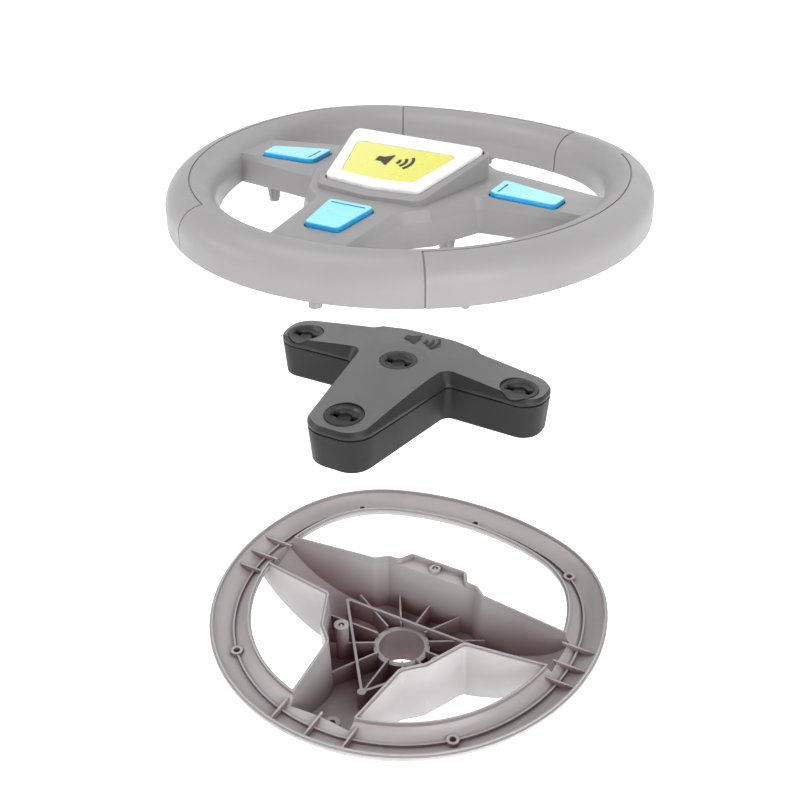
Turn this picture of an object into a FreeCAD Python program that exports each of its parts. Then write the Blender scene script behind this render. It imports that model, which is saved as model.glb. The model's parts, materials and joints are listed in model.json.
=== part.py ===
import FreeCAD, Part
import os
from math import atan, atan2, cos, degrees, hypot, pi, radians, sin, sqrt, tan

# Child's toy steering wheel with a sound box, drawn taken apart on its own axis.
# Frame: millimetres, +Z along the steering axis towards the driver, +Y to 12 o'clock,
# +X to the driver's right. The origin is on the steering axis, at the lower end of the hub.
# Every piece is modelled where it sits in the closed wheel, then raised by its body's lift.

# ---- lifts of the taken-apart rest pose ----
COVER_LIFT = 301.6          # front shell and its buttons
BOX_LIFT = 197.7            # sound box
SCREW_DROP = 11.0           # shell screws, backed out downwards

# ---- rim centreline: tangent arcs from 12 o'clock down to 6 o'clock ----
RIM_TOP_Y = 124.6
RIM_TOP_R, RIM_TOP_ANGLE = 190.8, radians(20.1)
RIM_CORNER_R, RIM_CORNER_ANGLE = 83.8, radians(46.9)
RIM_SIDE_R, RIM_SIDE_ANGLE = 139.8, radians(54.6)

# ---- shells ----
PARTING_Z = 63.0            # plane where the two shells meet
GRIP_R = 14.4               # half width of the rim
CREST_RISE = 9.5            # centre of the rim's round top above the parting plane
DISH_DEPTH = 11.0           # depth of the rim's back half
DISH_EDGE = 1.6             # upright edge of the back half
WALL = 2.4
LIP_INSET, LIP_W, LIP_H = 1.3, 1.1, 1.4
LIP_GAP = 0.2
RIB_INSET = 2.0             # screw bosses and channel rib, inwards of the centreline
RIB_W = 1.4

# ---- hub ----
HUB_BORE_R = 16.5
HUB_TUBE_WALL = 4.0
HUB_TUBE_R = HUB_BORE_R + HUB_TUBE_WALL
HUB_TUBE_TOP = 28.4
HUB_FLOOR_Z = 13.0          # underside of the hub's floor
FRAME_TOP_Z = 34.0          # triangular rib frame that the sound box stands on
FRAME_CORNER_X, FRAME_CORNER_Y, FRAME_FOOT_Y = 58.0, 20.0, -57.0
FRAME_W = 2.0
RADIAL_RIBS, RIB_REACH = 12, 60.0

# ---- spokes, at the parting plane ----
SPOKE_TOP_Y, SPOKE_LOW_Y = 33.0, -4.5        # side spoke at the rim
HUB_SHOULDER = (45.0, 41.0)
HUB_STEP = (37.0, 48.0)
HUB_ARMPIT = (55.5, -12.5)
HUB_CHEEK = (42.0, -42.0)
FOOT_ROOT = (29.5, -54.0)
FOOT_HALF_W = 24.4                           # lower spoke at the rim
TAB_HALF_W, TAB_Y = 23.0, 58.5
TAB_DEPTH = 3.0
SHELL_DRAFT = 2.5                            # inset of the back walls over the hub's depth

# ---- front shell above the parting plane ----
ROOF_HUB, ROOF_RIM = 20.4, 16.6              # height of the spokes' top at the hub and the rim
ROOF_HUB_R, ROOF_RIM_R = 45.0, 115.0
SPOKE_INSET, BEVEL_RISE, BEVEL_INSET = 2.0, 13.5, 3.6
BLOCK = [(46.0, 25.0), (-46.0, 25.0), (-32.0, -39.6), (0.0, -43.0), (32.0, -39.6)]
BLOCK_CORNER_R = 6.0
BLOCK_FLARE = 2.0
BLOCK_SLOPE = atan(0.164)
BLOCK_RISE_AT_HUB = 31.2                     # height of the sloping top at the hub axis
BLOCK_BEVEL = 1.3

# ---- screws and their bosses ----
SCREW_R, SCREW_HEAD_R, SCREW_HEAD_H = 2.0, 3.6, 2.4
SCREW_GAP = 0.2
BOSS_R, PEG_R = 4.2, 3.7
RIM_BOSS_TOP = -5.6                          # heights from the parting plane
DOWEL_R, DOWEL_GAP, DOWEL_L = 2.0, 0.25, 3.4 # noses of the rim pegs, in blind sockets
FOOT_BOSS = (0.0, -95.0, -23.0)
TAB_BOSS = (0.0, 52.0, -0.3)
CHEEK_BOSS = (39.0, -19.0, -16.0)
GUIDE_PEG = (103.0, 18.5, -19.0)
RIM_BOSS_ANGLES = [0.0, radians(42.5), radians(135.8), radians(-135.8), radians(-42.5)]
PEG_GAP = 0.3
SCREW_BITE = 9.0                             # length of a screw above its boss
SCREW_FLOOR = 3.0                            # plastic between a screw's head and its peg

# ---- buttons ----
TRAVEL = 2.0
PAD_SIDE = [(57.0, 17.0), (57.0, -4.0), (61.0, -5.4), (95.0, -2.4), (96.0, 11.8)]
PAD_FOOT = [(14.0, -55.5), (-14.0, -55.5), (-10.2, -87.5), (10.2, -87.5)]
PAD_T, PAD_PROUD, PAD_GAP = 3.2, 2.7, 0.8
PAD_CORNER_R = 2.6
POCKET_FLOOR = 2.2
SLOT_W, SLOT_DEPTH = 1.3, 0.8
STEM_R, STEM_GAP = 3.0, 0.3
WELL_R, WELL_WALL, WELL_DEPTH = 4.8, 1.5, 6.0
SPRING_WIRE, SPRING_R, SPRING_TURNS, SPRING_GAP = 0.8, 4.0, 4, 0.05
COLLAR_T = 0.9                               # level collar under a button, on the spring
CLIP_R, CLIP_T = 5.6, 1.0
HORN = [(43.0, 22.2), (-43.0, 22.2), (-29.2, -36.0), (0.0, -39.2), (29.2, -36.0)]
HORN_PLATE = [(32.5, 7.0), (-32.5, 7.0), (-22.5, -29.5), (0.0, -31.5), (22.5, -29.5)]
HORN_T, HORN_PROUD, HORN_GAP, HORN_CORNER_R = 4.6, 2.6, 0.7, 4.0
PLATE_T, PLATE_SUNK, PLATE_GAP = 1.6, 0.35, 0.15

# ---- sound box ----
BOX_STAND = 0.3                              # clearance over the rib frame
BOX = [(93.3, 26.8), (40.0, 36.5), (36.5, 40.6), (18.0, 44.2), (-18.0, 44.2), (-36.5, 40.6),
       (-40.0, 36.5), (-93.3, 26.8), (-93.3, -4.8), (-34.0, -3.5), (-19.3, -87.0),
       (19.3, -87.0), (34.0, -3.5), (93.3, -4.8)]
BOX_RADII = [14.5, 2.0, 2.0, 30.0, 30.0, 2.0, 2.0, 14.5, 14.5, 4.0, 16.5, 16.5, 4.0, 14.5]
TRAY_H, TRAY_TAPER, TRAY_BEVEL, BOX_WALL = 23.0, 2.0, 0.9, 2.2
SEAM_H, SEAM_INSET = 1.0, 0.9
LID_EDGE_H = 1.8                             # upright edge of the lid over the seam
LID_TOP, LID_ARM_TOP = 34.0, 27.6
LID_FLAT_R, LID_ARM_R = 16.0, 92.0
LID_SLANT = 0.75                             # inset of the lid's sides for each mm of rise
SOCKETS = {"left": (-76.5, 8.0), "right": (76.5, 8.0), "lower": (0.0, -69.5),
           "centre": (0.0, -4.5)}
SOCKET_R, SOCKET_GAP, SOCKET_DEPTH = 12.0, 0.35, 3.6
SOCKET_DISH_R, SOCKET_DISH = 9.6, 1.5
SOCKET_HOLE_R, KEY_L, KEY_W = 4.7, 17.0, 5.0
PLUNGER_R, PLUNGER_SUNK = 4.2, 2.6
PLUNGER_FOOT_R, PLUNGER_FOOT_T = 6.0, 1.2
BOARD_Z, BOARD_T = 15.2, 1.6
SWITCH_SIZE, SWITCH_H = 6.0, 3.6
CELL_R, CELL_L, CELL_PITCH = 5.2, 44.5, 10.8
CELLS_Y = -60.5                              # lower end of the cells
SPEAKER_R, SPEAKER_Y, SPEAKER_H = 16.0, 24.0, 9.0
BOX_SCREWS = [(54.0, 12.0), (-54.0, 12.0), (27.0, 33.0), (-27.0, 33.0)]
BOX_SCREW_R, BOX_BOSS_R = 1.4, 3.0
BOX_HEAD_R, BOX_HEAD_LOW, BOX_HEAD_TOP = 2.5, 1.2, 3.0
VENTS, VENT_R, VENT_RING_R = 6, 2.2, 7.5
CAN_SHORT, NUB_R = 1.2, 1.9                  # a cell's nub stands out of its can
CONTACT_W, CONTACT_T = 8.0, 0.5
DOOR = (27.0, 42.0)
DOOR_T, DOOR_GAP, DOOR_GRIP_W = 2.0, 0.3, 12.0

Z_AXIS = FreeCAD.Vector(0, 0, 1)
ORIGIN = FreeCAD.Vector(0, 0, 0)
BOX_Z = FRAME_TOP_Z + BOX_STAND              # underside of the closed sound box
NODES = {}


# ---- plane geometry ----

def vec(x, y, z=0.0):
    return FreeCAD.Vector(x, y, z)


def turn_at(points, i):
    """Signed turn of the outline at point i; positive is a corner that sticks out."""
    (x0, y0), (x1, y1), (x2, y2) = points[i - 1], points[i], points[(i + 1) % len(points)]
    before, after = atan2(y1 - y0, x1 - x0), atan2(y2 - y1, x2 - x1)
    return (after - before + pi) % (2 * pi) - pi


def inset(points, gap):
    """Anticlockwise outline moved inwards by gap, or outwards where gap is negative."""
    moved = []
    for i, (x1, y1) in enumerate(points):
        (x0, y0), (x2, y2) = points[i - 1], points[(i + 1) % len(points)]
        a, b = hypot(x1 - x0, y1 - y0), hypot(x2 - x1, y2 - y1)
        nx, ny = -(y1 - y0) / a - (y2 - y1) / b, (x1 - x0) / a + (x2 - x1) / b
        scale = gap * 2 / (nx * nx + ny * ny)
        moved.append((x1 + nx * scale, y1 + ny * scale))
    return moved


def inset_radii(points, radii, gap):
    """Corner radii that keep an inset outline parallel to its parent."""
    return [max(r - gap, 0.4) if turn_at(points, i) > 0 else max(r + gap, 0.4)
            for i, r in enumerate(radii)]


def outline(points, radii, z):
    """Closed wire of straight runs joined by tangent corner arcs."""
    starts, mids, ends = [], [], []
    for i, (x1, y1) in enumerate(points):
        (x0, y0), (x2, y2) = points[i - 1], points[(i + 1) % len(points)]
        a, b = hypot(x1 - x0, y1 - y0), hypot(x2 - x1, y2 - y1)
        ux, uy, wx, wy = (x0 - x1) / a, (y0 - y1) / a, (x2 - x1) / b, (y2 - y1) / b
        half = abs(turn_at(points, i)) / 2
        reach = radii[i] * tan(half)
        bx, by = ux + wx, uy + wy
        size = hypot(bx, by)
        depth = radii[i] / cos(half) - radii[i]
        starts.append(vec(x1 + ux * reach, y1 + uy * reach, z))
        ends.append(vec(x1 + wx * reach, y1 + wy * reach, z))
        mids.append(vec(x1 + bx / size * depth, y1 + by / size * depth, z))
    edges = []
    for i in range(len(points)):
        edges.append(Part.Arc(starts[i], mids[i], ends[i]).toShape())
        edges.append(Part.LineSegment(ends[i], starts[(i + 1) % len(points)]).toShape())
    return Part.Wire(edges)


def prism(points, radii, z0, z1):
    return Part.Face(outline(points, radii, z0)).extrude(vec(0, 0, z1 - z0))


def taper(points, radii, z0, gap0, z1, gap1):
    """Solid between one outline inset by gap0 at z0 and by gap1 at z1."""
    wires = [outline(inset(points, gap), inset_radii(points, radii, gap), z)
             for z, gap in ((z0, gap0), (z1, gap1))]
    return Part.makeLoft(wires, True, True)


def mirrored(points):
    """Whole anticlockwise outline from its right half, listed from the top down."""
    left = [(-x, y) for x, y in points]
    return left + points[::-1]


def cylinder(radius, x, y, z0, z1):
    return Part.makeCylinder(radius, z1 - z0, vec(x, y, z0), Z_AXIS)


def ring(outer, inner, x, y, z0, z1):
    return cylinder(outer, x, y, z0, z1).cut(cylinder(inner, x, y, z0 - 1, z1 + 1))


def box(x0, x1, y0, y1, z0, z1):
    return Part.makeBox(x1 - x0, y1 - y0, z1 - z0, vec(x0, y0, z0))


def revolved(points):
    """Solid of revolution about the steering axis from (radius, height) points."""
    face = Part.Face(Part.makePolygon([vec(r, 0, z) for r, z in points + points[:1]]))
    return face.revolve(ORIGIN, Z_AXIS, 360)


def fuse(shapes):
    shapes = list(shapes)
    return shapes[0].multiFuse(shapes[1:]) if len(shapes) > 1 else shapes[0]


def mirror_x(shape):
    return shape.mirror(ORIGIN, vec(1, 0, 0))


def add(node, shape):
    NODES[node] = shape.removeSplitter()


# ---- rim ----

def rim_arcs():
    """Right-hand arcs (centre x, centre y, radius, first and last heading from 12 o'clock)."""
    arcs, x, y, heading = [], 0.0, RIM_TOP_Y, 0.0
    for radius, angle in ((RIM_TOP_R, RIM_TOP_ANGLE), (RIM_CORNER_R, RIM_CORNER_ANGLE),
                          (RIM_SIDE_R, RIM_SIDE_ANGLE)):
        cx, cy = x - radius * sin(heading), y - radius * cos(heading)
        arcs.append((cx, cy, radius, heading, heading + angle))
        heading += angle
        x, y = cx + radius * sin(heading), cy + radius * cos(heading)
    radius = x / sin(heading)
    arcs.append((0.0, y - radius * cos(heading), radius, heading, pi))
    return arcs


def rim_point(angle, gap=0.0):
    """Where a ray from the hub meets the centreline moved inwards by gap."""
    dx, dy = sin(abs(angle)), cos(abs(angle))
    for cx, cy, radius, first, last in rim_arcs():
        along = dx * cx + dy * cy
        reach = along + sqrt(along ** 2 - cx ** 2 - cy ** 2 + (radius - gap) ** 2)
        x, y = dx * reach, dy * reach
        heading = atan2(x - cx, y - cy)
        if first - 1e-6 <= heading <= last + 1e-6:
            return (x if angle >= 0 else -x), y
    raise ValueError("no rim at this angle")


def rim_sweep(edges):
    """Section drawn in X and Z about the centreline, carried round the whole rim."""
    face = Part.Face(Part.Wire(edges))
    pieces = []
    for cx, cy, radius, first, last in rim_arcs():
        section = face.copy()
        section.translate(vec(radius, 0, 0))
        section.rotate(ORIGIN, Z_AXIS, 90 - degrees(last))
        piece = section.revolve(ORIGIN, Z_AXIS, degrees(last - first))
        piece.translate(vec(cx, cy, 0))
        pieces += [piece, mirror_x(piece)]
    return fuse(pieces).removeSplitter()


def polyline(points):
    return [Part.LineSegment(vec(x0, 0, z0), vec(x1, 0, z1)).toShape()
            for (x0, z0), (x1, z1) in zip(points, points[1:])]


def crest_section(gap, below):
    """Front half of the rim: round top on upright walls."""
    r, centre = GRIP_R - gap, PARTING_Z + CREST_RISE
    arc = Part.Arc(vec(-r, 0, centre), vec(0, 0, centre + r), vec(r, 0, centre)).toShape()
    low = PARTING_Z - below
    return [arc] + polyline([(r, centre), (r, low), (-r, low), (-r, centre)])


def dish_section(gap, above):
    """Back half of the rim: shallow round dish."""
    r, edge = GRIP_R - gap, PARTING_Z - DISH_EDGE
    arc = Part.Arc(vec(-r, 0, edge), vec(0, 0, PARTING_Z - DISH_DEPTH + gap), vec(r, 0, edge))
    high = PARTING_Z + above
    return [arc.toShape()] + polyline([(r, edge), (r, high), (-r, high), (-r, edge)])


def strip_section(u0, u1, z0, z1):
    return polyline([(u0, z0), (u1, z0), (u1, z1), (u0, z1), (u0, z0)])


def spoke_end_x():
    return rim_point(radians(80))[0] - GRIP_R / 2


def foot_end_y():
    return rim_point(pi)[1] + GRIP_R / 2


def spoke_outline(with_tab):
    end_x, end_y = spoke_end_x(), foot_end_y()
    top = [(TAB_HALF_W, TAB_Y), (TAB_HALF_W + 5.5, HUB_STEP[1] + 0.6)] if with_tab else []
    half = top + [HUB_STEP, HUB_SHOULDER, (end_x, SPOKE_TOP_Y), (end_x, SPOKE_LOW_Y), HUB_ARMPIT,
                  HUB_CHEEK, FOOT_ROOT, (FOOT_HALF_W, end_y)]
    radii = ([4.0, 2.0] if with_tab else []) + [3.0, 4.0, 1.0, 1.0, 3.0, 5.0, 6.0, 1.0]
    return mirrored(half), radii + radii[::-1]


def bowl(lift):
    """Underside of the hub and spokes: deep at the hub, rising to the rim."""
    edge_r = spoke_end_x() + 7.0
    base = [vec(0, 0, HUB_FLOOR_Z + lift), vec(47, 0, HUB_FLOOR_Z + 3.0 + lift)]
    rise = Part.Arc(base[1], vec(edge_r - 31, 0, PARTING_Z - 34.0 + lift),
                    vec(edge_r, 0, PARTING_Z - 3.0 + lift)).toShape()
    high = PARTING_Z + 1.0
    sides = [vec(edge_r, 0, PARTING_Z - 3.0 + lift), vec(edge_r, 0, high), vec(0, 0, high), base[0]]
    edges = [Part.makeLine(base[0], base[1]), rise]
    edges += [Part.makeLine(a, b) for a, b in zip(sides, sides[1:])]
    return Part.Face(Part.Wire(edges)).revolve(ORIGIN, Z_AXIS, 360)


def lip_ring(inner_gap, outer_gap, z0, z1):
    """Upright band that follows the rim's and the windows' edges."""
    points, radii = spoke_outline(True)
    bands = []
    for gap in (outer_gap, inner_gap):
        r = GRIP_R - gap
        rim = rim_sweep(strip_section(-r, r, z0, z1))
        spokes = prism(inset(points, gap), inset_radii(points, radii, gap), z0, z1)
        bands.append(rim.fuse(spokes))
    return bands[0].cut(bands[1])


# ---- back shell ----

def boss_places():
    """Rim sockets and screw bosses: x, y and the height of the top from the parting plane."""
    rim = [rim_point(angle, RIB_INSET) + (RIM_BOSS_TOP,) for angle in RIM_BOSS_ANGLES]
    cheek_x, cheek_y, cheek_top = CHEEK_BOSS
    inner = [FOOT_BOSS, TAB_BOSS, CHEEK_BOSS, (-cheek_x, cheek_y, cheek_top)]
    return rim, inner


def hub_ribs(inside):
    """Triangular frame, and radial ribs that run through it to the walls."""
    corners = [(-FRAME_CORNER_X, FRAME_CORNER_Y), (0.0, FRAME_FOOT_Y),
               (FRAME_CORNER_X, FRAME_CORNER_Y)]
    low = HUB_FLOOR_Z + 0.5
    outer = prism(inset(corners, -FRAME_W / 2), [2.0] * 3, low, FRAME_TOP_Z)
    inner = prism(inset(corners, FRAME_W / 2), [1.0] * 3, low - 1, FRAME_TOP_Z + 1)
    frame = outer.cut(inner).common(bowl(1.0))
    ribs = []
    for i in range(RADIAL_RIBS):
        rib = box(HUB_TUBE_R - 1, RIB_REACH, -RIB_W / 2, RIB_W / 2, low, FRAME_TOP_Z - 1.5)
        rib.rotate(ORIGIN, Z_AXIS, 360.0 * i / RADIAL_RIBS)
        ribs.append(rib.common(inside))
    foot = cylinder(3.2, 0, FRAME_FOOT_Y, low, FRAME_TOP_Z).common(bowl(1.0))
    return [frame, foot] + ribs


def cross_ribs(dish):
    """Three short ribs across the rim's channel where each spoke joins it."""
    ribs, top = [], PARTING_Z - 3.6
    side = [box(90, 160, y - RIB_W / 2, y + RIB_W / 2, PARTING_Z - DISH_DEPTH, top)
            for y in (27.0, 8.0, -9.0)]
    side = [rib.common(dish) for rib in side]
    ribs += side + [mirror_x(rib) for rib in side]
    for x in (-26.0, 0.0, 26.0):
        rib = box(x - RIB_W / 2, x + RIB_W / 2, -170, -90, PARTING_Z - DISH_DEPTH, top)
        ribs.append(rib.common(dish))
    return ribs


def back_shell():
    deep, deep_radii = spoke_outline(False)
    depth = PARTING_Z - HUB_FLOOR_Z + 1
    outer_walls = taper(deep, deep_radii, PARTING_Z - depth, SHELL_DRAFT, PARTING_Z, 0.0)
    inner_walls = taper(deep, deep_radii, PARTING_Z - depth, SHELL_DRAFT + WALL, PARTING_Z + 1,
                        WALL - SHELL_DRAFT / depth)
    plan, radii = spoke_outline(True)
    tab_zone = box(-50, 50, HUB_SHOULDER[1] + 2, TAB_Y + 5, 0, 100)
    tab = prism(plan, radii, PARTING_Z - TAB_DEPTH - WALL, PARTING_Z).common(tab_zone)
    tab_hollow = prism(inset(plan, WALL), inset_radii(plan, radii, WALL), PARTING_Z - TAB_DEPTH,
                       PARTING_Z + 1)
    rim = rim_sweep(dish_section(0.0, 0.0))
    channel = rim_sweep(dish_section(WALL, 1.0))
    inside = inner_walls.common(bowl(WALL))
    body = fuse([rim, outer_walls.common(bowl(0.0)), tab])
    body = body.cut(fuse([channel, inside, tab_hollow]))
    floor = PARTING_Z - DISH_DEPTH + 1.0
    rib = rim_sweep(strip_section(-RIB_INSET - RIB_W / 2, -RIB_INSET + RIB_W / 2, floor,
                                  PARTING_Z + RIM_BOSS_TOP - 0.6))
    tube = cylinder(HUB_TUBE_R, 0, 0, 0.0, HUB_TUBE_TOP)
    rim_bosses, inner_bosses = boss_places()
    bosses = [cylinder(BOSS_R, x, y, PARTING_Z - DISH_DEPTH + 0.8, PARTING_Z + top)
              for x, y, top in rim_bosses]
    bosses += [cylinder(BOSS_R + WALL / 2, x, y, HUB_FLOOR_Z, PARTING_Z + top).common(bowl(1.0))
               for x, y, top in inner_bosses if y < HUB_SHOULDER[1]]
    tab_x, tab_y, tab_top = TAB_BOSS
    bosses.append(cylinder(BOSS_R, tab_x, tab_y, PARTING_Z - TAB_DEPTH - WALL,
                           PARTING_Z + tab_top))
    lip = lip_ring(LIP_INSET + LIP_W, LIP_INSET, PARTING_Z - 0.6, PARTING_Z + LIP_H)
    extras = [rib, tube, lip] + bosses + hub_ribs(inside) + cross_ribs(rim)
    body = fuse([body] + extras)
    holes = [cylinder(HUB_BORE_R, 0, 0, -1.0, HUB_TUBE_TOP + 1.0)]
    for x, y, top in rim_bosses:
        holes.append(cylinder(DOWEL_R + DOWEL_GAP, x, y, PARTING_Z + top - DOWEL_L - PEG_GAP,
                              PARTING_Z))
    for x, y, top in inner_bosses:
        seat = PARTING_Z + top - SCREW_FLOOR
        holes.append(cylinder(SCREW_R + SCREW_GAP, x, y, 0, PARTING_Z + 5))
        holes.append(cylinder(SCREW_HEAD_R + SCREW_GAP, x, y, -5, seat))
    return body.cut(fuse(holes))


def shell_screws(places):
    """Pan-head screws, backed out under their bosses."""
    screws = []
    for x, y, top in places:
        seat = PARTING_Z + top - SCREW_FLOOR
        head = cylinder(SCREW_HEAD_R, x, y, seat - SCREW_HEAD_H, seat)
        slot = box(x - SCREW_HEAD_R, x + SCREW_HEAD_R, y - 0.5, y + 0.5, seat - SCREW_HEAD_H - 1,
                   seat - SCREW_HEAD_H + 1)
        shank = cylinder(SCREW_R, x, y, seat, PARTING_Z + top + SCREW_BITE)
        tip = Part.makeCone(SCREW_R, 0.8, 1.5, vec(x, y, PARTING_Z + top + SCREW_BITE), Z_AXIS)
        screws.append(fuse([head, shank, tip]).cut(slot))
    return Part.makeCompound(screws)


# ---- front shell ----

def roof(drop):
    """Space under the gently sloping top of the spokes."""
    low = PARTING_Z - 2.0
    return revolved([(0, low), (170, low), (170, PARTING_Z + ROOF_RIM - drop - 3.0),
                     (ROOF_RIM_R, PARTING_Z + ROOF_RIM - drop),
                     (ROOF_HUB_R, PARTING_Z + ROOF_HUB - drop), (0, PARTING_Z + ROOF_HUB - drop)])


def roof_height(x, y):
    reach = (hypot(x, y) - ROOF_HUB_R) / (ROOF_RIM_R - ROOF_HUB_R)
    return PARTING_Z + ROOF_HUB + (ROOF_RIM - ROOF_HUB) * reach


def under_slope(drop):
    """Everything under the hub block's sloping top, lowered by drop."""
    slab = box(-200, 200, -200, 200, -200, 0)
    slab.rotate(ORIGIN, vec(1, 0, 0), degrees(BLOCK_SLOPE))
    slab.translate(vec(0, 0, PARTING_Z + BLOCK_RISE_AT_HUB - drop))
    return slab


def slope_height(y):
    return PARTING_Z + BLOCK_RISE_AT_HUB + y * tan(BLOCK_SLOPE)


def spoke_body(gap, roof_drop, low):
    """Spokes and tab above the parting plane, with their bevelled upper edges."""
    plan, radii = spoke_outline(True)
    z0, z1, z2 = PARTING_Z - low, PARTING_Z + BEVEL_RISE, PARTING_Z + ROOF_HUB + 1.0
    slope = SPOKE_INSET / BEVEL_RISE
    lower = taper(plan, radii, z0, gap - slope * low, z1, SPOKE_INSET + gap)
    upper = taper(plan, radii, z1, SPOKE_INSET + gap, z2, SPOKE_INSET + BEVEL_INSET + gap)
    return fuse([lower, upper]).common(roof(roof_drop))


def block_body(gap, drop, low):
    radii = [BLOCK_CORNER_R] * 5
    z0, z1 = PARTING_Z - low, PARTING_Z + 45.0
    solid = taper(BLOCK, radii, z0, gap - BLOCK_FLARE, z1, gap)
    solid = solid.common(under_slope(drop))
    if gap == 0.0:
        rim_edges = [edge for edge in solid.Edges
                     if all(abs(v.Z - slope_height(v.Y)) < 0.05 for v in edge.Vertexes)]
        solid = solid.makeChamfer(BLOCK_BEVEL, rim_edges)
    return solid


def pad_frame(name):
    """Where a pad button sits: outline, centre of its plunger and tilt of its top."""
    slope = degrees(atan((ROOF_HUB - ROOF_RIM) / (ROOF_RIM_R - ROOF_HUB_R)))
    if name == "lower":
        return PAD_FOOT[::-1], SOCKETS["lower"], vec(1, 0, 0), slope
    if name == "right":
        return PAD_SIDE, SOCKETS["right"], vec(0, 1, 0), slope
    return [(-x, y) for x, y in PAD_SIDE[::-1]], SOCKETS["left"], vec(0, 1, 0), -slope


def tilted(shape, place, axis, angle):
    """Local height 0 becomes the sloping roof at the pad's plunger."""
    x, y = place
    shape.translate(vec(0, 0, roof_height(x, y)))
    shape.rotate(vec(x, y, roof_height(x, y)), axis, angle)
    return shape


def ccw(points):
    area = sum(x0 * y1 - x1 * y0 for (x0, y0), (x1, y1) in zip(points, points[1:] + points[:1]))
    return points if area > 0 else points[::-1]


def pad_pocket(name, grow, z0, z1):
    points, place, axis, angle = pad_frame(name)
    points = ccw(points)
    wide = inset(points, -grow)
    return tilted(prism(wide, [PAD_CORNER_R + grow] * len(wide), z0, z1), place, axis, angle)


def well_levels(name):
    """Underside of the button, foot of the spring well and underside of the well."""
    x, y = SOCKETS[name]
    if name == "centre":
        button = slope_height(y) + HORN_PROUD - HORN_T
    else:
        button = roof_height(x, y) + PAD_PROUD - PAD_T
    seat = button - TRAVEL - 0.3 - WELL_DEPTH
    return button, seat, seat - WELL_WALL


def wells():
    """Spring wells under the four buttons, and the holes through them."""
    solids, holes = [], []
    for name, (x, y) in SOCKETS.items():
        button, seat, under = well_levels(name)
        solids.append(cylinder(WELL_R + WELL_WALL, x, y, under, button - TRAVEL - 0.6))
        holes.append(cylinder(WELL_R, x, y, seat, button + 10))
        holes.append(cylinder(STEM_R + STEM_GAP, x, y, under - 1, seat + 1))
    return solids, holes


def horn_solid(points, gap, z0, z1):
    solid = prism(inset(points, gap), [HORN_CORNER_R] * len(points), z0, z1)
    solid.rotate(ORIGIN, vec(1, 0, 0), degrees(BLOCK_SLOPE))
    solid.translate(vec(0, 0, PARTING_Z + BLOCK_RISE_AT_HUB))
    return solid


def gusset(x, y, along_x, bottom, top):
    """Tapered plate that braces a peg."""
    half = 7.0
    corners = [(-half, top), (half, top), (PEG_R, bottom + 2), (-PEG_R, bottom + 2)]
    wire = Part.makePolygon([vec(u, -0.8, z) for u, z in corners + corners[:1]])
    plate = Part.Face(wire).extrude(vec(0, 1.6, 0))
    if not along_x:
        plate.rotate(ORIGIN, Z_AXIS, 90)
    plate.translate(vec(x, y, 0))
    return plate


def pegs(envelope):
    """Hollow pegs that meet the back shell's bosses, and two pairs of braced guide pegs."""
    rim, inner = boss_places()
    guide_x, guide_y, guide_low = GUIDE_PEG
    guides = [(guide_x, guide_y, guide_low), (-guide_x, guide_y, guide_low)]
    solids, bores = [], []
    for x, y, top in rim + inner:
        low = PARTING_Z + top + PEG_GAP
        solids.append(cylinder(PEG_R, x, y, low, PARTING_Z + 40))
    for x, y, top in rim:
        solids.append(cylinder(DOWEL_R, x, y, PARTING_Z + top - DOWEL_L + PEG_GAP, PARTING_Z + 5))
    for x, y, top in inner:
        low = PARTING_Z + top + PEG_GAP
        bores.append(cylinder(SCREW_R + SCREW_GAP, x, y, low - 1, PARTING_Z + top + 12))
    for x, y, low in guides:
        solids.append(cylinder(PEG_R - 0.6, x, y, PARTING_Z + low, PARTING_Z + 40))
    for x, y, low in guides + [place for place in inner if abs(place[0]) > 1]:
        for along_x in (True, False):
            solids.append(gusset(x, y, along_x, PARTING_Z + low, PARTING_Z + 14))
    return [solid.common(envelope) for solid in solids], bores


def wedge(first, last):
    """Sector about the hub between two headings from 12 o'clock."""
    far = 400.0
    count = 6
    headings = [first + (last - first) * i / count for i in range(count + 1)]
    points = [vec(0, 0, 0)] + [vec(far * sin(a), far * cos(a), 0) for a in headings]
    return Part.Face(Part.makePolygon(points + points[:1])).extrude(vec(0, 0, 200))


def grip_seams(rim):
    """Fine grooves that part the soft grip panels: one over the top, one on each side."""
    groove_w, groove_depth = 0.8, 0.7
    skin = rim.cut(rim_sweep(crest_section(groove_depth, 5.0)))
    crest_z = PARTING_Z + CREST_RISE
    line = rim_sweep(strip_section(-groove_w / 2, groove_w / 2, crest_z, crest_z + 20))
    inner_half = rim_sweep(strip_section(-GRIP_R - 1, 0.0, PARTING_Z - 1, crest_z + 20))
    outer_half = rim_sweep(strip_section(0.0, GRIP_R + 1, PARTING_Z - 1, crest_z + 20))
    cuts = []
    panels = [(-0.49, 0.49, inner_half), (0.86, 2.56, outer_half), (-2.56, -0.86, outer_half)]
    for first, last, half in panels:
        cuts.append(line.common(wedge(first, last)))
        for angle in (first, last):
            slab = box(-groove_w / 2, groove_w / 2, 40, 250, 0, 200)
            slab.rotate(ORIGIN, Z_AXIS, -degrees(angle))
            cuts.append(slab.common(half))
    return [cut.common(skin) for cut in cuts]


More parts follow.
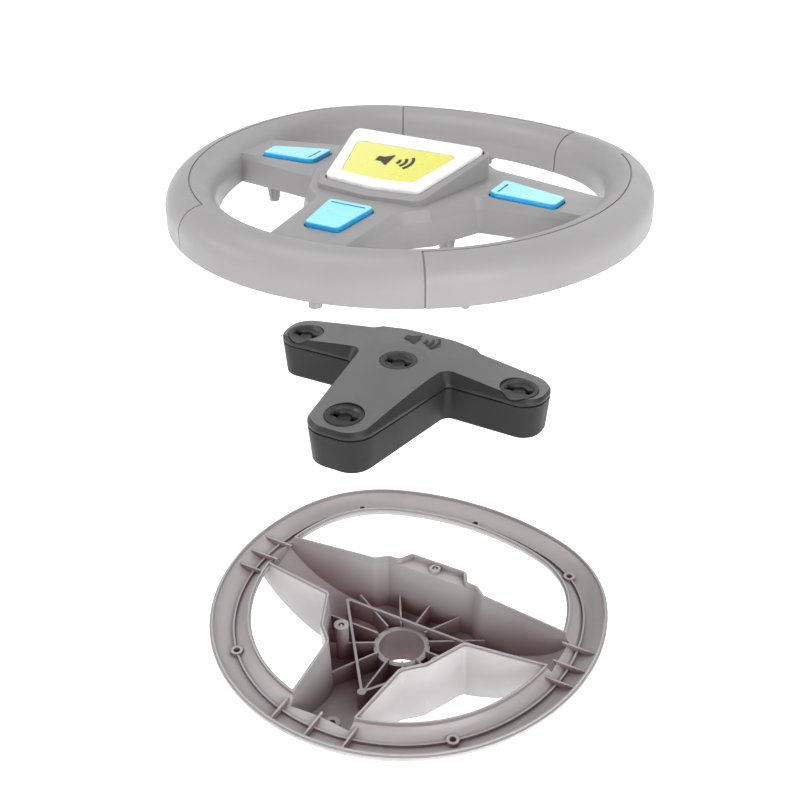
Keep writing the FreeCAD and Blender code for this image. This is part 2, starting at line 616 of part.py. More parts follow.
def front_shell():
    rim = rim_sweep(crest_section(0.0, 0.0))
    outer = fuse([rim, spoke_body(0.0, 0.0, 0.0), block_body(0.0, 0.0, 0.0)])
    hollow = fuse([rim_sweep(crest_section(WALL, 1.0)), spoke_body(WALL, WALL, 1.0),
                   block_body(WALL, WALL, 1.0)])
    well_solids, well_holes = wells()
    floors = [pad_pocket(name, PAD_GAP + WALL, PAD_PROUD - PAD_T - TRAVEL - 0.3 - POCKET_FLOOR, 0.5)
              for name in ("left", "right", "lower")]
    horn_low = HORN_PROUD - HORN_T - TRAVEL - 0.6
    floors.append(horn_solid(HORN, -HORN_GAP - WALL, horn_low - POCKET_FLOOR, 0.0))
    below = box(-200, 200, -200, 200, PARTING_Z - 60, PARTING_Z)
    peg_solids, bores = pegs(fuse([outer, below]))
    added = [solid.common(outer) for solid in floors] + well_solids + peg_solids
    shell = fuse([outer.cut(hollow)] + added)
    pockets = [pad_pocket(name, PAD_GAP, PAD_PROUD - PAD_T - TRAVEL - 0.3, 8.0)
               for name in ("left", "right", "lower")]
    pockets.append(horn_solid(HORN, -HORN_GAP, horn_low, 9.0))
    rebate = lip_ring(LIP_INSET + LIP_W + 2.0, LIP_INSET - LIP_GAP, PARTING_Z - 1,
                      PARTING_Z + LIP_H + 0.3)
    rebate = rebate.cut(fuse([solid for solid in peg_solids]))
    return shell.cut(fuse(pockets + well_holes + bores + [rebate] + grip_seams(rim)))


# ---- buttons ----

def plunger_top(name):
    x, y = SOCKETS[name]
    return BOX_Z + lid_height(x, y) - PLUNGER_SUNK


def stem(name, radius):
    """Collar and round stem down to just above the plunger, grooved for the clip."""
    x, y = SOCKETS[name]
    button, seat, under = well_levels(name)
    rod = cylinder(radius, x, y, plunger_top(name) + PEG_GAP, button + 0.5)
    collar = cylinder(SPRING_R + SPRING_WIRE / 2, x, y, button - COLLAR_T, button + 1.0)
    groove = ring(radius + 1, radius - 0.8, x, y, under - 0.2 - CLIP_T, under - 0.2)
    return rod.cut(groove).fuse(collar)


def pad(name):
    points, place, axis, angle = pad_frame(name)
    points = ccw(points)
    slab = prism(points, [PAD_CORNER_R] * len(points), PAD_PROUD - PAD_T, PAD_PROUD)
    top_edges = [edge for edge in slab.Edges
                 if all(abs(v.Z - PAD_PROUD) < 1e-4 for v in edge.Vertexes)]
    slab = slab.makeFillet(0.9, top_edges)
    if name == "lower":
        slot = box(-10.5, 10.5, -60.2, -60.2 + SLOT_W, PAD_PROUD - SLOT_DEPTH, PAD_PROUD + 1)
    else:
        slot = box(61.0, 61.0 + SLOT_W, -2.8, 10.8, PAD_PROUD - SLOT_DEPTH, PAD_PROUD + 1)
        slot = slot if name == "right" else mirror_x(slot)
    slab = tilted(slab.cut(slot), place, axis, angle)
    return slab.fuse(stem(name, STEM_R))


def spring(name):
    """Coil spring of half turns, between the foot of its well and the collar."""
    x, y = SOCKETS[name]
    button, seat, under = well_levels(name)
    height = button - COLLAR_T - seat - SPRING_WIRE - 2 * SPRING_GAP
    rise = height / SPRING_TURNS / 2
    radius = hypot(SPRING_R, rise / 2)
    lean = degrees(atan(rise / 2 / SPRING_R))
    halves = []
    for i in range(2 * SPRING_TURNS):
        half = Part.makeTorus(radius, SPRING_WIRE / 2, ORIGIN, Z_AXIS, -180, 180, 180)
        half.rotate(ORIGIN, Z_AXIS, 180 * (i % 2))
        half.rotate(ORIGIN, vec(0, 1, 0), -lean if i % 2 else lean)
        half.translate(vec(x, y, seat + SPRING_WIRE / 2 + SPRING_GAP + (i + 0.5) * rise))
        halves.append(half)
    return fuse(halves)


def clip(name):
    """Split ring that snaps in the stem's groove under the well."""
    x, y = SOCKETS[name]
    under = well_levels(name)[2]
    z1 = under - 0.2
    solid = ring(CLIP_R, STEM_R - 0.8, x, y, z1 - CLIP_T, z1)
    return solid.cut(box(x - 1.5, x + 1.5, y - CLIP_R - 1, y, z1 - CLIP_T - 1, z1 + 1))


def horn_bezel():
    z0, z1 = HORN_PROUD - HORN_T, HORN_PROUD
    bezel = horn_solid(HORN, 0.0, z0, z1)
    top_edges = [edge for edge in bezel.Edges
                 if all(abs(v.Z - slope_height(v.Y) - z1 / cos(BLOCK_SLOPE)) < 0.05
                        for v in edge.Vertexes)]
    bezel = bezel.makeFillet(1.6, top_edges)
    bezel = bezel.cut(horn_solid(HORN_PLATE, -PLATE_GAP, z1 - PLATE_SUNK - PLATE_T, z1 + 1))
    return bezel.fuse(stem("centre", STEM_R))


def sound_sign(z0, z1, size):
    """Plain loudspeaker sign: a horn and three sound arcs."""
    cone = [(-5.5, -1.3), (-3.6, -1.3), (-1.0, -3.4), (-1.0, 3.4), (-3.6, 1.3), (-5.5, 1.3)]
    parts = [prism([(x * size, y * size) for x, y in cone], [0.2 * size] * 6, z0, z1)]
    for reach in (2.0, 4.0, 6.0):
        band = ring((reach + 0.45) * size, (reach - 0.45) * size, 0, 0, z0, z1)
        parts.append(band.common(Part.makeCylinder(20 * size, z1 - z0, vec(0, 0, z0), Z_AXIS, 70)
                                 .rotate(ORIGIN, Z_AXIS, -35)))
    return Part.makeCompound(parts)


# ---- sound box ----

def lid_height(x, y):
    """Height of the lid's top over the box's underside."""
    reach = (hypot(x, y) - LID_FLAT_R) / (LID_ARM_R - LID_FLAT_R)
    return LID_TOP + (LID_ARM_TOP - LID_TOP) * max(reach, 0.0)


def lid_roof(drop):
    return revolved([(0, -5), (130, -5), (130, LID_ARM_TOP - 3.2 - drop),
                     (LID_ARM_R, LID_ARM_TOP - drop), (LID_FLAT_R, LID_TOP - drop),
                     (0, LID_TOP - drop)])


def lid_solid(gap, drop, low):
    z1 = TRAY_H + SEAM_H + LID_EDGE_H
    radii = BOX_RADII
    edge = prism(inset(BOX, gap), inset_radii(BOX, radii, gap), low, z1)
    crown = taper(BOX, radii, z1, gap, LID_TOP + 1.0, gap + LID_SLANT * (LID_TOP + 1.0 - z1))
    return fuse([edge, crown]).common(lid_roof(drop))


def socket_top(name):
    return lid_height(*SOCKETS[name])


def box_lid():
    seam_top = TRAY_H + SEAM_H
    body = lid_solid(0.0, 0.0, seam_top)
    tongue = prism(inset(BOX, SEAM_INSET), inset_radii(BOX, BOX_RADII, SEAM_INSET), TRAY_H,
                   seam_top)
    hollow = lid_solid(BOX_WALL, BOX_WALL, TRAY_H - 1)
    body = body.fuse(tongue).cut(hollow)
    seats, holes = [], []
    for name, (x, y) in SOCKETS.items():
        top = socket_top(name)
        seats.append(cylinder(SOCKET_R + 1.6, x, y, top - SOCKET_DEPTH - 1.6, top)
                     .common(lid_solid(0.0, 0.0, TRAY_H)))
        holes.append(cylinder(SOCKET_R, x, y, top - SOCKET_DEPTH, top + 5))
        holes.append(cylinder(SOCKET_DISH_R, x, y, TRAY_H - 8, top))
    posts = [cylinder(BOX_BOSS_R, x, y, BOARD_Z + BOARD_T + 0.3, LID_TOP)
             .common(lid_solid(0.5, 0.5, 0.0)) for x, y in BOX_SCREWS]
    pilots = [cylinder(BOX_SCREW_R + 0.05, x, y, 0, TRAY_H + 1.0) for x, y in BOX_SCREWS]
    return fuse([body] + seats + posts).cut(fuse(holes + pilots))


def box_tray():
    side = taper(BOX, BOX_RADII, TRAY_BEVEL, TRAY_TAPER, TRAY_H, 0.0)
    bevel = taper(BOX, BOX_RADII, 0.0, TRAY_TAPER + TRAY_BEVEL, TRAY_BEVEL, TRAY_TAPER)
    outer = side.fuse(bevel)
    inner = taper(BOX, BOX_RADII, BOX_WALL, TRAY_TAPER + BOX_WALL, TRAY_H + 1, BOX_WALL)
    posts = [cylinder(BOX_BOSS_R, x, y, 1.0, BOARD_Z - 0.1) for x, y in BOX_SCREWS]
    tray = fuse([outer.cut(inner)] + posts)
    door_x, door_y = DOOR
    door_mid = CELLS_Y + CELL_L / 2
    cuts = [box(-door_x / 2, door_x / 2, door_mid - door_y / 2, door_mid + door_y / 2, -1, 5)]
    for x, y in BOX_SCREWS:
        cuts.append(cylinder(BOX_SCREW_R + 0.2, x, y, -1, BOARD_Z + 1))
        cuts.append(cylinder(BOX_HEAD_R + 0.3, x, y, -1, BOX_HEAD_TOP))
    for i in range(VENTS):
        angle = 2 * pi * i / VENTS
        x, y = VENT_RING_R * sin(angle), SPEAKER_Y + VENT_RING_R * cos(angle)
        cuts.append(cylinder(VENT_R, x, y, -1, 5))
    cuts.append(cylinder(VENT_R, 0, SPEAKER_Y, -1, 5))
    return tray.cut(fuse(cuts))


def socket_ring(name):
    """Insert in the lid with a keyed hole over its plunger."""
    x, y = SOCKETS[name]
    top = socket_top(name)
    outer = cylinder(SOCKET_R - SOCKET_GAP, x, y, top - SOCKET_DEPTH, top)
    dish = Part.makeCone(SOCKET_DISH_R - 1.2, SOCKET_DISH_R, SOCKET_DISH,
                         vec(x, y, top - SOCKET_DISH), Z_AXIS)
    hole = cylinder(SOCKET_HOLE_R, x, y, 0, top + 1)
    key = box(x - KEY_L / 2, x + KEY_L / 2, y - KEY_W / 2, y + KEY_W / 2, 0, top)
    return outer.cut(fuse([dish, hole, key]))


def plunger(name):
    """Push rod between the socket and its switch, with a foot that keeps it in."""
    x, y = SOCKETS[name]
    low = BOARD_Z + BOARD_T + SWITCH_H + TRAVEL + 0.3
    rod = cylinder(PLUNGER_R, x, y, low, socket_top(name) - PLUNGER_SUNK)
    foot_top = min(socket_top(name) - SOCKET_DEPTH - 0.3, low + PLUNGER_FOOT_T)
    return rod.fuse(cylinder(PLUNGER_FOOT_R, x, y, low, foot_top))


def circuit_board():
    arm = SOCKETS["right"][1]
    half = [(24.0, arm + 8), (83.0, arm + 7), (83.0, arm - 7), (20.0, arm - 9), (10.0, -30.0),
            (10.0, -80.0)]
    board = prism(mirrored([(24.0, 30.0)] + half), [1.0] * 14, BOARD_Z, BOARD_Z + BOARD_T)
    holes = [cylinder(BOX_BOSS_R + 0.3, x, y, BOARD_Z - 1, BOARD_Z + 5) for x, y in BOX_SCREWS]
    return board.cut(fuse(holes))


def switches():
    half = SWITCH_SIZE / 2
    z = BOARD_Z + BOARD_T
    parts = []
    for x, y in SOCKETS.values():
        body = box(x - half, x + half, y - half, y + half, z, z + SWITCH_H - 0.8)
        parts.append(body.fuse(cylinder(1.7, x, y, z, z + SWITCH_H)))
    return Part.makeCompound(parts)


def cell_places():
    return [(i * CELL_PITCH, BOX_WALL + 0.4 + CELL_R) for i in (-1, 0, 1)]


def cells():
    parts = []
    for x, z in cell_places():
        can = Part.makeCylinder(CELL_R, CELL_L - CAN_SHORT, vec(x, CELLS_Y, z), vec(0, 1, 0))
        nub = Part.makeCylinder(NUB_R, CELL_L, vec(x, CELLS_Y, z), vec(0, 1, 0))
        parts.append(can.fuse(nub))
    return Part.makeCompound(parts)


def contacts():
    parts = []
    for x, z in cell_places():
        for y in (CELLS_Y - CONTACT_T - 0.1, CELLS_Y + CELL_L + 0.1):
            parts.append(box(x - CONTACT_W / 2, x + CONTACT_W / 2, y, y + CONTACT_T, BOX_WALL,
                             z + CONTACT_W / 2))
    return Part.makeCompound(parts)


def battery_door():
    door_x, door_y = DOOR
    mid = CELLS_Y + CELL_L / 2
    half_x, half_y = door_x / 2 - DOOR_GAP, door_y / 2 - DOOR_GAP
    door = box(-half_x, half_x, mid - half_y, mid + half_y, 0.0, DOOR_T)
    grip = fuse([box(-DOOR_GRIP_W / 2, DOOR_GRIP_W / 2, y, y + 0.8, -1, 0.5)
                 for y in (mid - 8, mid - 6, mid - 4)])
    return door.cut(grip)


def speaker_frame():
    x, y = 0, SPEAKER_Y
    rim = ring(SPEAKER_R, SPEAKER_R - 2.0, x, y, BOX_WALL, BOX_WALL + 2.0)
    basket = Part.makeCone(SPEAKER_R, 9.0, 4.0, vec(x, y, BOX_WALL + 2.0), Z_AXIS)
    hollow = Part.makeCone(SPEAKER_R - 1.2, 7.8, 4.2, vec(x, y, BOX_WALL + 1.9), Z_AXIS)
    return rim.fuse(basket.cut(hollow))


def speaker_cone():
    outer = Part.makeCone(SPEAKER_R - 2.4, 4.0, 3.6, vec(0, SPEAKER_Y, BOX_WALL + 0.6), Z_AXIS)
    inner = Part.makeCone(SPEAKER_R - 3.2, 3.2, 3.6, vec(0, SPEAKER_Y, BOX_WALL + 0.2), Z_AXIS)
    return outer.cut(inner)


def box_screws():
    parts = []
    for x, y in BOX_SCREWS:
        head = cylinder(BOX_HEAD_R, x, y, BOX_HEAD_LOW, BOX_HEAD_TOP)
        shank = cylinder(BOX_SCREW_R, x, y, BOX_HEAD_TOP, TRAY_H)
        cross = fuse([box(x - 1.6, x + 1.6, y - 0.3, y + 0.3, 0.5, 1.8),
                      box(x - 0.3, x + 0.3, y - 1.6, y + 1.6, 0.5, 1.8)])
        parts.append(head.fuse(shank).cut(cross))
    return Part.makeCompound(parts)


# ---- assembly ----

def raise_nodes(names, lift):
    for name in names:
        NODES[name].translate(vec(0, 0, lift))


def build():
    add("back_shell", back_shell())
    add("shell_screws", shell_screws(boss_places()[1]))
    raise_nodes(["shell_screws"], -SCREW_DROP)

    add("front_shell", front_shell())
    cover = ["front_shell"]
    for name in ("left", "right", "lower"):
        add(name + "_pad", pad(name))
        add(name + "_pad_spring", spring(name))
        add(name + "_pad_clip", clip(name))
        cover += [name + "_pad", name + "_pad_spring", name + "_pad_clip"]
    add("horn_bezel", horn_bezel())
    plate_top = HORN_PROUD - PLATE_SUNK
    add("horn_plate", horn_solid(HORN_PLATE, 0.0, plate_top - PLATE_T, plate_top))
    sign = sound_sign(plate_top, plate_top + 0.35, 1.9)
    sign.translate(vec(0, -9.5, 0))
    sign.rotate(ORIGIN, vec(1, 0, 0), degrees(BLOCK_SLOPE))
    sign.translate(vec(0, 0, PARTING_Z + BLOCK_RISE_AT_HUB))
    add("horn_sign", sign)
    add("horn_spring", spring("centre"))
    add("horn_clip", clip("centre"))
    cover += ["horn_bezel", "horn_plate", "horn_sign", "horn_spring", "horn_clip"]
    raise_nodes(cover, COVER_LIFT)

    add("box_tray", box_tray())
    add("box_lid", box_lid())
    for name in SOCKETS:
        add(name + "_socket", socket_ring(name))
        add(name + "_plunger", plunger(name))
    add("circuit_board", circuit_board())
    add("switches", switches())
    add("cells", cells())
    add("battery_contacts", contacts())
    add("battery_door", battery_door())
    add("speaker_frame", speaker_frame())
    add("speaker_cone", speaker_cone())
    add("speaker_magnet", cylinder(9.0, 0, SPEAKER_Y, BOX_WALL + 6.1, BOX_WALL + SPEAKER_H))
    add("box_screws", box_screws())
    sign = sound_sign(0, 0.4, 2.0)
    sign.translate(vec(0, 26.0, lid_height(0, 26.0) + 0.5))
    add("box_sign", sign)
    boxed = [node for node in NODES if node not in cover]
    boxed = [node for node in boxed if node not in ("back_shell", "shell_screws")]
    raise_nodes(boxed, BOX_Z + BOX_LIFT)


build()
os.makedirs("parts", exist_ok=True)
for node, shape in NODES.items():
    shape.exportStep("parts/" + node + ".step")
    print(node, len(shape.Solids), "solids", round(shape.Volume / 1000, 2), "cm3",
          "valid" if shape.isValid() else "INVALID")
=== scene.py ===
import json
from math import radians

import bpy
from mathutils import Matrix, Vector


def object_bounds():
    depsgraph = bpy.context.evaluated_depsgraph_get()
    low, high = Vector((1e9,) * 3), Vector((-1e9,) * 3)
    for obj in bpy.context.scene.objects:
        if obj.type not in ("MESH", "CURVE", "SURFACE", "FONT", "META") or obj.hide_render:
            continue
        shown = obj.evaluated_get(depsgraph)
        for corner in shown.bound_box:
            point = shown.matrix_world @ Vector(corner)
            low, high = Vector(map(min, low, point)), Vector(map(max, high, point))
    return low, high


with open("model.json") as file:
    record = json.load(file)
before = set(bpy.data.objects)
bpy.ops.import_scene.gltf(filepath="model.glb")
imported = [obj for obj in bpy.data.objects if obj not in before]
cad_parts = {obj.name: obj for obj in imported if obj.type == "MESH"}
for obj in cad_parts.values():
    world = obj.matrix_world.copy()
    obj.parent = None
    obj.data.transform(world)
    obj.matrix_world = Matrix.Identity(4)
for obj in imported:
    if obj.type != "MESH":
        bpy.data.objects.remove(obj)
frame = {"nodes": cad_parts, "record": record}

CAD_LOW, CAD_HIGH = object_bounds()

# ---- camera, in metres from the lower end of the hub ----
CAMERA_AT = (0.2958, -0.5433, 0.6015)
CAMERA_AZIMUTH, CAMERA_PITCH = 28.57, 27.86
CAMERA_LENS, SENSOR = 50.7, 36.0
CAMERA_SHIFT = (-0.002, -0.0686)

# ---- stage and light ----
FLOOR_GAP = 0.02                 # below the lowest point of the toy
FLOOR_SIZE = 14.0
FLOOR_GLOW = 0.6
FLOOR_WHITE, FLOOR_PALE = (0.95, 0.95, 0.95), (0.93, 0.93, 0.93)
WORLD_TOP, WORLD_HORIZON = 0.72, 1.0
WORLD_BAND = (0.30, 0.50)        # sine of the heights between which one becomes the other
LIGHTS = {
    "key": dict(at=(-0.6, -0.3, 1.9), aim=0.2, size=1.2, power=13.0),
    "fill": dict(at=(1.3, -1.1, 0.8), aim=0.2, size=1.4, power=9.0),
    "back": dict(at=(0.2, 1.5, 1.4), aim=0.2, size=1.6, power=6.0),
    "low left": dict(at=(-0.75, -0.45, 0.42), aim=0.05, size=0.5, power=0.26, spread=38),
    "low right": dict(at=(0.75, -0.45, 0.42), aim=0.05, size=0.5, power=0.50, spread=38),
}

# ---- colours, linear ----
COVER_GREY = (0.275, 0.269, 0.270)
# painted shade: the tone the cover's recesses and corners are darkened to
COVER_RECESS_SHADE = (0.17, 0.155, 0.157)
# painted light: the back shell's grey, lifted above the cover's to offset the shade cast on it by
# the parts above
BACK_LIFTED_GREY = (0.36, 0.350, 0.353)
# painted shade with a painted warm bounce: the tone the back shell's recesses are darkened to
BACK_RECESS_SHADE = (0.13, 0.050, 0.054)
# painted light and shade: the pads' lit top tone and their darker shaded side tone
PAD_LIT_TOP = (0.28, 0.72, 0.83)
PAD_SHADED_SIDE = (0.015, 0.33, 0.68)
BEZEL_WHITE = (0.80, 0.80, 0.80)
PLATE_YELLOW = (0.67, 0.655, 0.085)
PLATE_PALE = (0.72, 0.71, 0.20)
INK = (0.02, 0.02, 0.022)
# painted light and shade: the lid's lit top tone, lifted further to offset the shade the cover
# casts on it, and its shaded side tone
LID_LIT_TOP = (0.165, 0.165, 0.167)
LID_SHADED_SIDE = (0.012, 0.012, 0.0125)
TRAY_GREY = (0.017, 0.017, 0.0175)
SOCKET_GREY = (0.03, 0.03, 0.031)
BLACK = (0.005, 0.005, 0.0055)
STEEL = (0.55, 0.56, 0.58)
BOARD_GREEN = (0.02, 0.11, 0.04)
CELL_GREY = (0.06, 0.07, 0.09)
NICKEL = (0.62, 0.60, 0.55)
PAPER = (0.03, 0.03, 0.03)

# ---- surfaces; lengths in metres, scales per metre ----
NOISE_LOW, NOISE_HIGH = 0.3, 0.7         # nearly all of a noise lies between these
GRAIN_STRENGTH = 0.35
POLISH_SPREAD = 0.12                     # share by which the roughness wanders
COAT_ROUGH = 0.12
SHELL_SPECULAR = 0.4
RECESS_REACH = 0.05                      # how far off a wall still makes a recess that takes painted shade
RECESS_FULL = 0.1                        # open share at which the painted recess shade is full
LEVEL = 0.97                             # normal's Z from which a face counts as level
PLATE_HALF = 0.035                       # half width over which the film's yellow pales
STREAK_SCALE = 600.0


# ---- node helpers ----

def new_material(name):
    mat = bpy.data.materials.new(name)
    mat.use_nodes = True
    tree = mat.node_tree
    return mat, tree, tree.nodes["Principled BSDF"]


def noise(tree, scale, detail=3.0):
    coords = tree.nodes.new("ShaderNodeTexCoord")
    node = tree.nodes.new("ShaderNodeTexNoise")
    node.inputs["Scale"].default_value = scale
    node.inputs["Detail"].default_value = detail
    tree.links.new(coords.outputs["Object"], node.inputs["Vector"])
    return node.outputs["Fac"]


def ramp(tree, value, low, high, dark, light):
    """Colour that goes from dark to light as value goes from low to high."""
    node = tree.nodes.new("ShaderNodeValToRGB")
    node.color_ramp.elements[0].position = low
    node.color_ramp.elements[1].position = high
    node.color_ramp.elements[0].color = (*dark, 1)
    node.color_ramp.elements[1].color = (*light, 1)
    tree.links.new(value, node.inputs["Fac"])
    return node.outputs["Color"]


def remap(tree, value, low, high, first, last):
    """Number that goes from first to last as value goes from low to high."""
    node = tree.nodes.new("ShaderNodeMapRange")
    for key, number in (("From Min", low), ("From Max", high), ("To Min", first), ("To Max", last)):
        node.inputs[key].default_value = number
    tree.links.new(value, node.inputs["Value"])
    return node.outputs["Result"]


def mix_colour(tree, factor, first, second):
    """First colour where factor is 0, second where it is 1."""
    node = tree.nodes.new("ShaderNodeMix")
    node.data_type = "RGBA"
    for key, value in (("Factor", factor), ("A", first), ("B", second)):
        socket = [s for s in node.inputs if s.name == key and s.enabled
                  and (s.type == "RGBA" or key == "Factor")][0]
        if isinstance(value, bpy.types.NodeSocket):
            tree.links.new(value, socket)
        else:
            socket.default_value = value if key == "Factor" else (*value, 1)
    return [s for s in node.outputs if s.type == "RGBA"][0]


def shade(colour, factor):
    return tuple(c * factor for c in colour)


def drifting(tree, fac, colour, share):
    """Colour that drifts darker and lighter by a share of itself."""
    return ramp(tree, fac, NOISE_LOW, NOISE_HIGH, shade(colour, 1 - share),
                shade(colour, 1 + share))


def uneven_polish(tree, bsdf, scale, detail, rough, spread):
    """Roughness that wanders round its mean by up to the spread."""
    wander = remap(tree, noise(tree, scale, detail), NOISE_LOW, NOISE_HIGH,
                   rough - spread, rough + spread)
    tree.links.new(wander, bsdf.inputs["Roughness"])


def rounded_grain(tree, bsdf, grain, depth, edge):
    """Fine moulded grain, on edges that look rounded by the given radius."""
    bump = tree.nodes.new("ShaderNodeBump")
    bump.inputs["Strength"].default_value = GRAIN_STRENGTH
    bump.inputs["Distance"].default_value = depth
    tree.links.new(noise(tree, grain, 2.0), bump.inputs["Height"])
    if edge:
        bevel = tree.nodes.new("ShaderNodeBevel")
        bevel.samples = 4
        bevel.inputs["Radius"].default_value = edge
        tree.links.new(bevel.outputs["Normal"], bump.inputs["Normal"])
    tree.links.new(bump.outputs["Normal"], bsdf.inputs["Normal"])


def moulded(name, colour, rough, grain=1400.0, depth=0.0002, edge=0.0005, vary=0.07, coat=0.0,
            specular=0.5):
    """Moulded plastic: slight colour drift, uneven polish, grain and rounded edges."""
    mat, tree, bsdf = new_material(name)
    tree.links.new(drifting(tree, noise(tree, 16.0, 4.0), colour, vary), bsdf.inputs["Base Color"])
    uneven_polish(tree, bsdf, 45.0, 4.0, rough, rough * POLISH_SPREAD)
    bsdf.inputs["Coat Weight"].default_value = coat
    bsdf.inputs["Coat Roughness"].default_value = COAT_ROUGH
    bsdf.inputs["Specular IOR Level"].default_value = specular
    rounded_grain(tree, bsdf, grain, depth, edge)
    return mat


def shell_plastic(name, grey, recess_shade, open_sky):
    """Grey moulding with painted shade: its recesses and corners are darkened towards another tone.
    """
    mat, tree, bsdf = new_material(name)
    tint = drifting(tree, noise(tree, 12.0, 4.0), grey, 0.04)
    # painted shade: ambient occlusion darkens recesses and corners towards the shade tone
    shadow = tree.nodes.new("ShaderNodeAmbientOcclusion")
    shadow.samples = 8
    shadow.inputs["Distance"].default_value = RECESS_REACH
    depth = remap(tree, shadow.outputs["AO"], RECESS_FULL, open_sky, 1.0, 0.0)
    tree.links.new(mix_colour(tree, depth, tint, recess_shade), bsdf.inputs["Base Color"])
    uneven_polish(tree, bsdf, 60.0, 4.0, 0.40, 0.06)
    bsdf.inputs["Specular IOR Level"].default_value = SHELL_SPECULAR
    rounded_grain(tree, bsdf, 1600.0, 0.00015, 0.0006)
    return mat


def lit_top_shaded_sides(name, side, top, flat, rough, coat, edge):
    """Moulding painted lighter on its level faces and darker on its sides: painted light on top,
    painted shade on the sides.
    """
    mat, tree, bsdf = new_material(name)
    split = tree.nodes.new("ShaderNodeSeparateXYZ")
    facing = tree.nodes.new("ShaderNodeNewGeometry")
    tree.links.new(facing.outputs["Normal"], split.inputs["Vector"])
    # painted light and shade: faces that look up take the lit top tone, steeper faces the shaded
    # side tone
    painted_top_light = remap(tree, split.outputs["Z"], flat, LEVEL, 0.0, 1.0)
    tint = mix_colour(tree, painted_top_light, side, top)
    drift = remap(tree, noise(tree, 40.0), NOISE_LOW, NOISE_HIGH, 0.0, 0.08)
    tree.links.new(mix_colour(tree, drift, tint, side), bsdf.inputs["Base Color"])
    uneven_polish(tree, bsdf, 70.0, 3.0, rough, rough * POLISH_SPREAD)
    bsdf.inputs["Coat Weight"].default_value = coat
    bsdf.inputs["Specular IOR Level"].default_value = SHELL_SPECULAR
    rounded_grain(tree, bsdf, 1200.0, 0.0001, edge)
    return mat


def metal(name, colour, rough, stretch):
    """Metal with fine drawn streaks."""
    mat, tree, bsdf = new_material(name)
    coords = tree.nodes.new("ShaderNodeTexCoord")
    mapping = tree.nodes.new("ShaderNodeMapping")
    mapping.inputs["Scale"].default_value = stretch
    streaks = tree.nodes.new("ShaderNodeTexNoise")
    streaks.inputs["Scale"].default_value = STREAK_SCALE
    tree.links.new(coords.outputs["Object"], mapping.inputs["Vector"])
    tree.links.new(mapping.outputs["Vector"], streaks.inputs["Vector"])
    fac = streaks.outputs["Fac"]
    tint = ramp(tree, fac, NOISE_LOW, NOISE_HIGH, shade(colour, 0.85), shade(colour, 1.1))
    tree.links.new(tint, bsdf.inputs["Base Color"])
    tree.links.new(remap(tree, fac, NOISE_LOW, NOISE_HIGH, rough * 0.8, rough * 1.2),
                   bsdf.inputs["Roughness"])
    bsdf.inputs["Metallic"].default_value = 1.0
    return mat


def plate_film():
    """Printed film: yellow that pales towards one side, under a clear gloss."""
    mat, tree, bsdf = new_material("plate_film")
    coords = tree.nodes.new("ShaderNodeTexCoord")
    split = tree.nodes.new("ShaderNodeSeparateXYZ")
    tree.links.new(coords.outputs["Object"], split.inputs["Vector"])
    across = remap(tree, split.outputs["X"], -PLATE_HALF, PLATE_HALF, 0.0, 1.0)
    tint = ramp(tree, across, 0.1, 0.9, PLATE_PALE, PLATE_YELLOW)
    mottle = remap(tree, noise(tree, 220.0), 0.35, 0.65, 0.0, 0.08)
    tree.links.new(mix_colour(tree, mottle, tint, PLATE_PALE), bsdf.inputs["Base Color"])
    uneven_polish(tree, bsdf, 90.0, 3.0, 0.30, 0.04)
    bsdf.inputs["Coat Weight"].default_value = 0.4
    rounded_grain(tree, bsdf, 900.0, 0.00005, 0.0)
    return mat


def make_materials():
    """One material for each slot of the record."""
    drawn, even = (1.0, 1.0, 12.0), (1.0, 1.0, 1.0)
    dark_steel = shade(STEEL, 0.7)
    return {
        "shell_plastic": shell_plastic("shell_plastic", COVER_GREY, COVER_RECESS_SHADE, open_sky=0.6),
        "pad_plastic": lit_top_shaded_sides("pad_plastic", PAD_SHADED_SIDE, PAD_LIT_TOP, flat=0.55, rough=0.28,
                                coat=0.3, edge=0.0006),
        "bezel_plastic": moulded("bezel_plastic", BEZEL_WHITE, 0.3, grain=900.0, depth=0.00005,
                                 edge=0.0006, vary=0.02, coat=0.3),
        "plate_film": plate_film(),
        "sign_ink": moulded("sign_ink", INK, 0.4, edge=0.0, vary=0.2),
        "box_plastic": moulded("box_plastic", TRAY_GREY, 0.5, grain=1500.0, depth=0.0002,
                               edge=0.0007, specular=0.2),
        "lid_plastic": lit_top_shaded_sides("lid_plastic", LID_SHADED_SIDE, LID_LIT_TOP, flat=0.75, rough=0.42,
                                coat=0.0, edge=0.0008),
        "socket_plastic": moulded("socket_plastic", SOCKET_GREY, 0.4),
        "plunger_plastic": moulded("plunger_plastic", BLACK, 0.4),
        "screw_steel": metal("screw_steel", STEEL, 0.3, drawn),
        "spring_steel": metal("spring_steel", shade(STEEL, 0.9), 0.28, drawn),
        "board": moulded("board", BOARD_GREEN, 0.35, grain=500.0, depth=0.0001, edge=0.0,
                         vary=0.15, coat=0.3),
        "switch_plastic": moulded("switch_plastic", BLACK, 0.45),
        "cell_wrap": moulded("cell_wrap", CELL_GREY, 0.3, coat=0.4),
        "contact_nickel": metal("contact_nickel", NICKEL, 0.3, drawn),
        "speaker_metal": metal("speaker_metal", dark_steel, 0.4, even),
        "speaker_paper": moulded("speaker_paper", PAPER, 0.85, grain=700.0, depth=0.0004,
                                 edge=0.0, vary=0.25),
    }


def paint_nodes():
    """Every node takes its slot's material; the back shell takes a lighter copy of the shell grey,
    painted light that offsets the shade cast on it by the parts above.
    """
    made = make_materials()
    for part in frame["record"]["subparts"]:
        mesh = frame["nodes"][part["node"]].data
        mesh.materials.clear()
        mesh.materials.append(made[part["material_slot"]])
    # painted light: a lighter copy of the shell grey for the back shell, with its own painted
    # recess shade
    back = shell_plastic("shell_plastic_back_lit_copy", BACK_LIFTED_GREY, BACK_RECESS_SHADE, open_sky=0.85)
    frame["nodes"]["back_shell"].data.materials[0] = back


# ---- stage ----

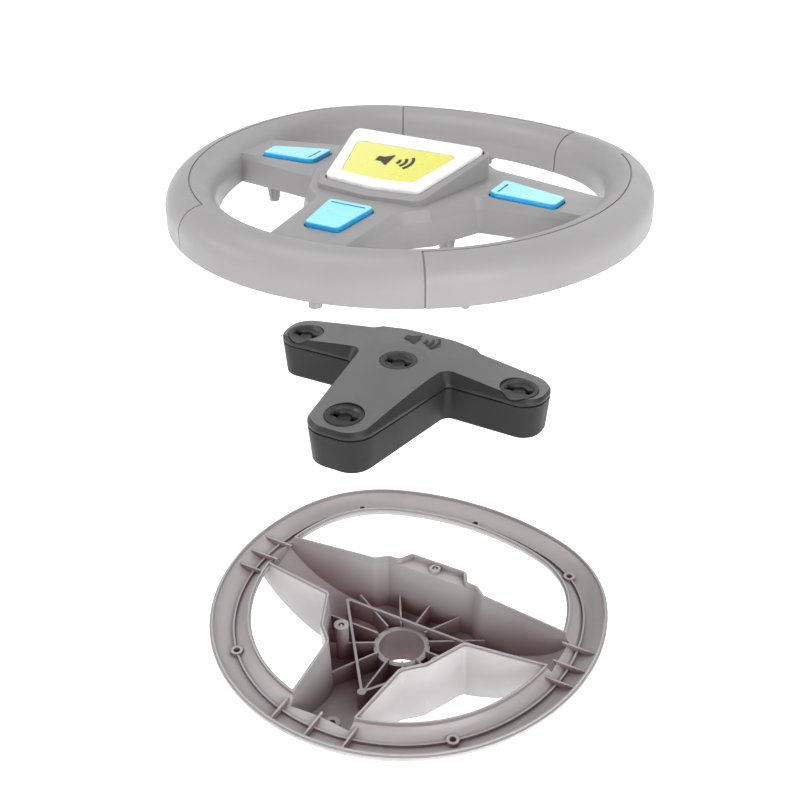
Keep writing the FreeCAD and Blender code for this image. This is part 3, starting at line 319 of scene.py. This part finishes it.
def floor():
    """Pale floor a little below the toy, with a faint glow that lifts the shadows."""
    z = CAD_LOW.z - FLOOR_GAP
    bpy.ops.mesh.primitive_plane_add(size=FLOOR_SIZE, location=(0, 0, z))
    ground = bpy.context.object
    ground.name = "floor"
    mat, tree, bsdf = new_material("floor")
    tint = ramp(tree, noise(tree, 3.0), NOISE_LOW, NOISE_HIGH, FLOOR_PALE, FLOOR_WHITE)
    tree.links.new(tint, bsdf.inputs["Base Color"])
    bsdf.inputs["Roughness"].default_value = 0.9
    bsdf.inputs["Specular IOR Level"].default_value = 0.1
    bsdf.inputs["Emission Color"].default_value = (1, 1, 1, 1)
    bsdf.inputs["Emission Strength"].default_value = FLOOR_GLOW
    ground.data.materials.append(mat)


def studio_world():
    """White near the horizon and greyer overhead."""
    world = bpy.data.worlds.new("studio")
    world.use_nodes = True
    tree = world.node_tree
    backdrop = tree.nodes["Background"]
    backdrop.inputs["Color"].default_value = (1, 1, 1, 1)
    direction = tree.nodes.new("ShaderNodeTexCoord")
    split = tree.nodes.new("ShaderNodeSeparateXYZ")
    tree.links.new(direction.outputs["Generated"], split.inputs["Vector"])
    tree.links.new(remap(tree, split.outputs["Z"], *WORLD_BAND, WORLD_HORIZON, WORLD_TOP),
                   backdrop.inputs["Strength"])
    bpy.context.scene.world = world


def lights():
    for name, facts in LIGHTS.items():
        data = bpy.data.lights.new(name, "AREA")
        data.size, data.energy = facts["size"], facts["power"]
        data.spread = radians(facts.get("spread", 180))
        lamp = bpy.data.objects.new(name, data)
        lamp.location = facts["at"]
        heading = Vector((0, 0, facts["aim"])) - Vector(facts["at"])
        lamp.rotation_euler = heading.to_track_quat("-Z", "Y").to_euler()
        bpy.context.scene.collection.objects.link(lamp)


def camera():
    data = bpy.data.cameras.new("camera")
    data.lens, data.sensor_width = CAMERA_LENS, SENSOR
    data.shift_x, data.shift_y = CAMERA_SHIFT
    eye = bpy.data.objects.new("camera", data)
    eye.location = CAMERA_AT
    eye.rotation_euler = (radians(90 - CAMERA_PITCH), 0, radians(CAMERA_AZIMUTH))
    bpy.context.scene.collection.objects.link(eye)
    bpy.context.scene.camera = eye


bpy.context.scene.view_settings.view_transform = "Standard"
paint_nodes()
floor()
studio_world()
lights()
camera()
